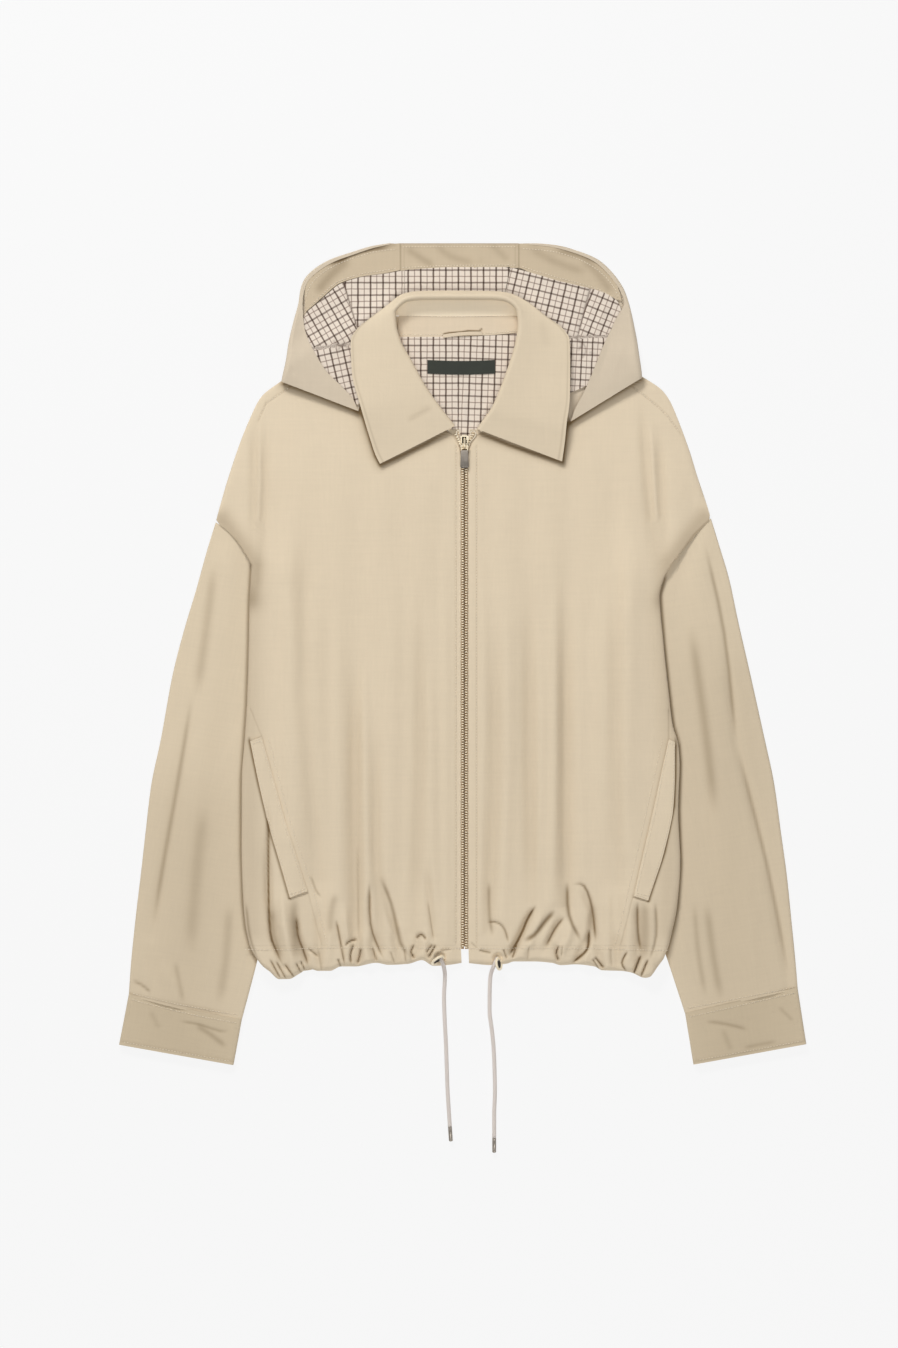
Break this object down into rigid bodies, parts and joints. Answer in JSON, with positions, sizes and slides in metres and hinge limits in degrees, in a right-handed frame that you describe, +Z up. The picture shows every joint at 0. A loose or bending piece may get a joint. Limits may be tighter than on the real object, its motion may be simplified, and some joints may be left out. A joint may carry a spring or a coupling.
{
  "type": "hooded zip jacket",
  "caption": "Hooded zip jacket laid flat: spread hood with a check lining, turned-down collar, drop-shoulder sleeves, slanted welt pockets, gathered drawcord hem and a zip with a pull tab",
  "frame": {"origin": "on the table under the middle of the garment's box, measured without the drawcords", "axes": "+X to the right as seen from above, +Y towards the hood, +Z up off the table"},
  "size_m": [0.6875, 0.9103, 0.018],
  "materials": {
    "twill": "matte cotton twill",
    "check": "woven check lining",
    "label": "dark woven label",
    "tape": "woven zip tape",
    "brass": "pale polished metal",
    "gunmetal": "dark satin metal",
    "cord": "braided cord"
  },
  "bodies": {
    "jacket": {"back": "twill", "collar_leaf": "twill", "collar_stand": "twill", "cord_tip_left": "gunmetal", "cord_tip_right": "gunmetal", "cuff_left": "twill", "cuff_right": "twill", "drawcord_left": "cord", "drawcord_right": "cord", "eyelet_left": "gunmetal", "eyelet_right": "gunmetal", "front_left": "twill", "front_right": "twill", "hanger_loop": "twill", "hem_back": "twill", "hem_front_left": "twill", "hem_front_right": "twill", "hood_centre": "twill", "hood_facing_centre": "twill", "hood_facing_left": "twill", "hood_facing_right": "twill", "hood_lining_centre": "check", "hood_lining_left": "check", "hood_lining_right": "check", "hood_side_left": "twill", "hood_side_right": "twill", "label": "label", "lining_back": "check", "neck_facing": "twill", "pocket_welt_left": "twill", "pocket_welt_right": "twill", "side_front_left": "twill", "side_front_right": "twill", "sleeve_left": "twill", "sleeve_right": "twill", "zip_chain": "brass", "zip_slider": "brass", "zip_tape_left": "tape", "zip_tape_right": "tape"},
    "pull": {"zip_pull": "gunmetal"}
  },
  "joints": [
    {"name": "pull_tab", "type": "hinge", "parent": "jacket", "child": "pull", "pos_m": [0.0017, 0.2075, 0.0089], "axis": [-1, 0, 0], "range_deg": [0, 130]}
  ]
}
